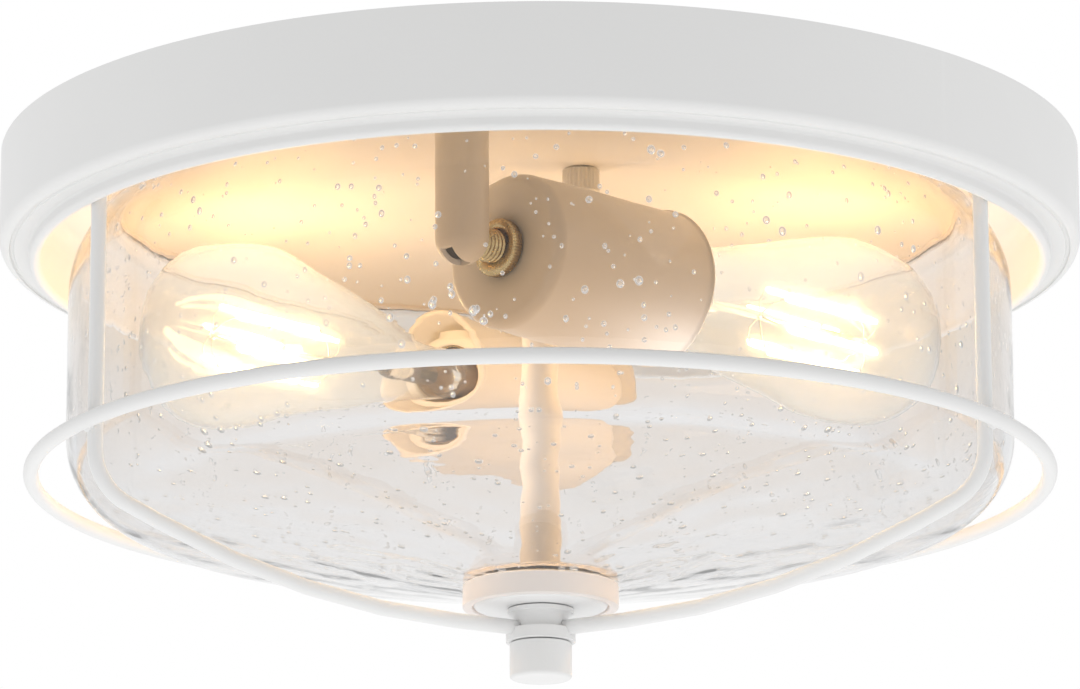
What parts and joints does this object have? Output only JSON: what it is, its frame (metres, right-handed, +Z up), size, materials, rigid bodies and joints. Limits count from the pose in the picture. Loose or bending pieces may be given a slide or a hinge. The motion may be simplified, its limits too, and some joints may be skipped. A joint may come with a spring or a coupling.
{
  "type": "outdoor flush ceiling light",
  "caption": "Round white flush ceiling light with a clear seeded glass shade in a wire cage over sideways lamp sockets.",
  "frame": {"origin": "centre of the light in the plane of the ceiling that it is screwed to", "axes": "+Z up into the ceiling, -Y towards the front of the picture, +X to its right"},
  "size_m": [0.32, 0.32, 0.1564],
  "materials": {
    "white_paint": "satin white",
    "seeded_glass": "clear with seeds",
    "bulb_glass": "clear",
    "mount_glass": "clear",
    "brass": "bright",
    "base_metal": "bright",
    "zinc_steel": "zinc plated",
    "porcelain": "glazed",
    "clear_silicone": "translucent",
    "earth_green": "green",
    "glowing_strip": "glowing"
  },
  "bodies": {
    "pan": {"ceiling_pan": "white_paint", "stud_strap": "zinc_steel", "strap_pivot": "zinc_steel", "pan_studs": "zinc_steel", "stud_lock_nuts": "zinc_steel", "earth_screw": "earth_green", "centre_rod": "zinc_steel", "rod_washer": "zinc_steel", "rod_nut": "zinc_steel", "stem_sleeve": "white_paint", "stem_foot": "white_paint", "glass_rim_seal": "clear_silicone", "front_arm": "white_paint", "front_arm_nipple": "brass", "front_arm_nut": "zinc_steel", "front_cross_nipple": "brass", "front_lock_ring": "brass", "front_cup_nut": "zinc_steel", "front_socket_cup": "white_paint", "front_socket_body": "porcelain", "front_screw_shell": "brass", "front_centre_contact": "brass", "rear_arm": "white_paint", "rear_arm_nipple": "brass", "rear_arm_nut": "zinc_steel", "rear_cross_nipple": "brass", "rear_lock_ring": "brass", "rear_cup_nut": "zinc_steel", "rear_socket_cup": "white_paint", "rear_socket_body": "porcelain", "rear_screw_shell": "brass", "rear_centre_contact": "brass"},
    "box_bracket": {"box_strap": "zinc_steel"},
    "front_thumb_nut": {"front_thumb_nut": "white_paint"},
    "front_bulb": {"front_bulb_glass": "bulb_glass", "front_bulb_base": "base_metal", "front_bulb_eyelet": "base_metal", "front_bulb_mount": "mount_glass", "front_filament": "glowing_strip"},
    "rear_thumb_nut": {"rear_thumb_nut": "white_paint"},
    "rear_bulb": {"rear_bulb_glass": "bulb_glass", "rear_bulb_base": "base_metal", "rear_bulb_eyelet": "base_metal", "rear_bulb_mount": "mount_glass", "rear_filament": "glowing_strip"},
    "glass": {"glass_shade": "seeded_glass"},
    "cap": {"cap_gasket": "clear_silicone", "glass_cap": "white_paint"},
    "cage": {"cage_ring": "white_paint", "cage_uprights": "white_paint", "cage_hub": "white_paint"},
    "finial": {"finial_knob": "white_paint"}
  },
  "joints": [
    {"name": "bracket_swivel", "type": "hinge", "parent": "pan", "child": "box_bracket", "pos_m": [0, 0, 0], "axis": [0, 0, 1], "range_deg": [-54, 85]},
    {"name": "front_nut_turn", "type": "hinge", "parent": "pan", "child": "front_thumb_nut", "pos_m": [0.01203, -0.04279, 0], "axis": [0, 0, 1], "continuous": true},
    {"name": "rear_nut_turn", "type": "hinge", "parent": "pan", "child": "rear_thumb_nut", "pos_m": [-0.01203, 0.04279, 0], "axis": [0, 0, 1], "continuous": true},
    {"name": "front_bulb_out", "type": "slide", "parent": "pan", "child": "front_bulb", "axis": [0.7071, 0.7071, 0], "range_m": [0, 0.02]},
    {"name": "rear_bulb_out", "type": "slide", "parent": "pan", "child": "rear_bulb", "axis": [-0.7071, -0.7071, 0], "range_m": [0, 0.02]},
    {"name": "cage_drop", "type": "slide", "parent": "pan", "child": "cage", "axis": [0, 0, -1], "range_m": [0, 0.16]},
    {"name": "cap_drop", "type": "slide", "parent": "pan", "child": "cap", "axis": [0, 0, -1], "range_m": [0, 0.151]},
    {"name": "glass_drop", "type": "slide", "parent": "pan", "child": "glass", "axis": [0, 0, -1], "range_m": [0, 0.142]},
    {"name": "finial_turn", "type": "hinge", "parent": "cage", "child": "finial", "pos_m": [0, 0, -0.15], "axis": [0, 0, 1], "continuous": true}
  ],
  "couplings": [
    {"joint": "cap_drop", "follows": "cage_drop", "ratio": 0.94375},
    {"joint": "glass_drop", "follows": "cage_drop", "ratio": 0.8875}
  ]
}
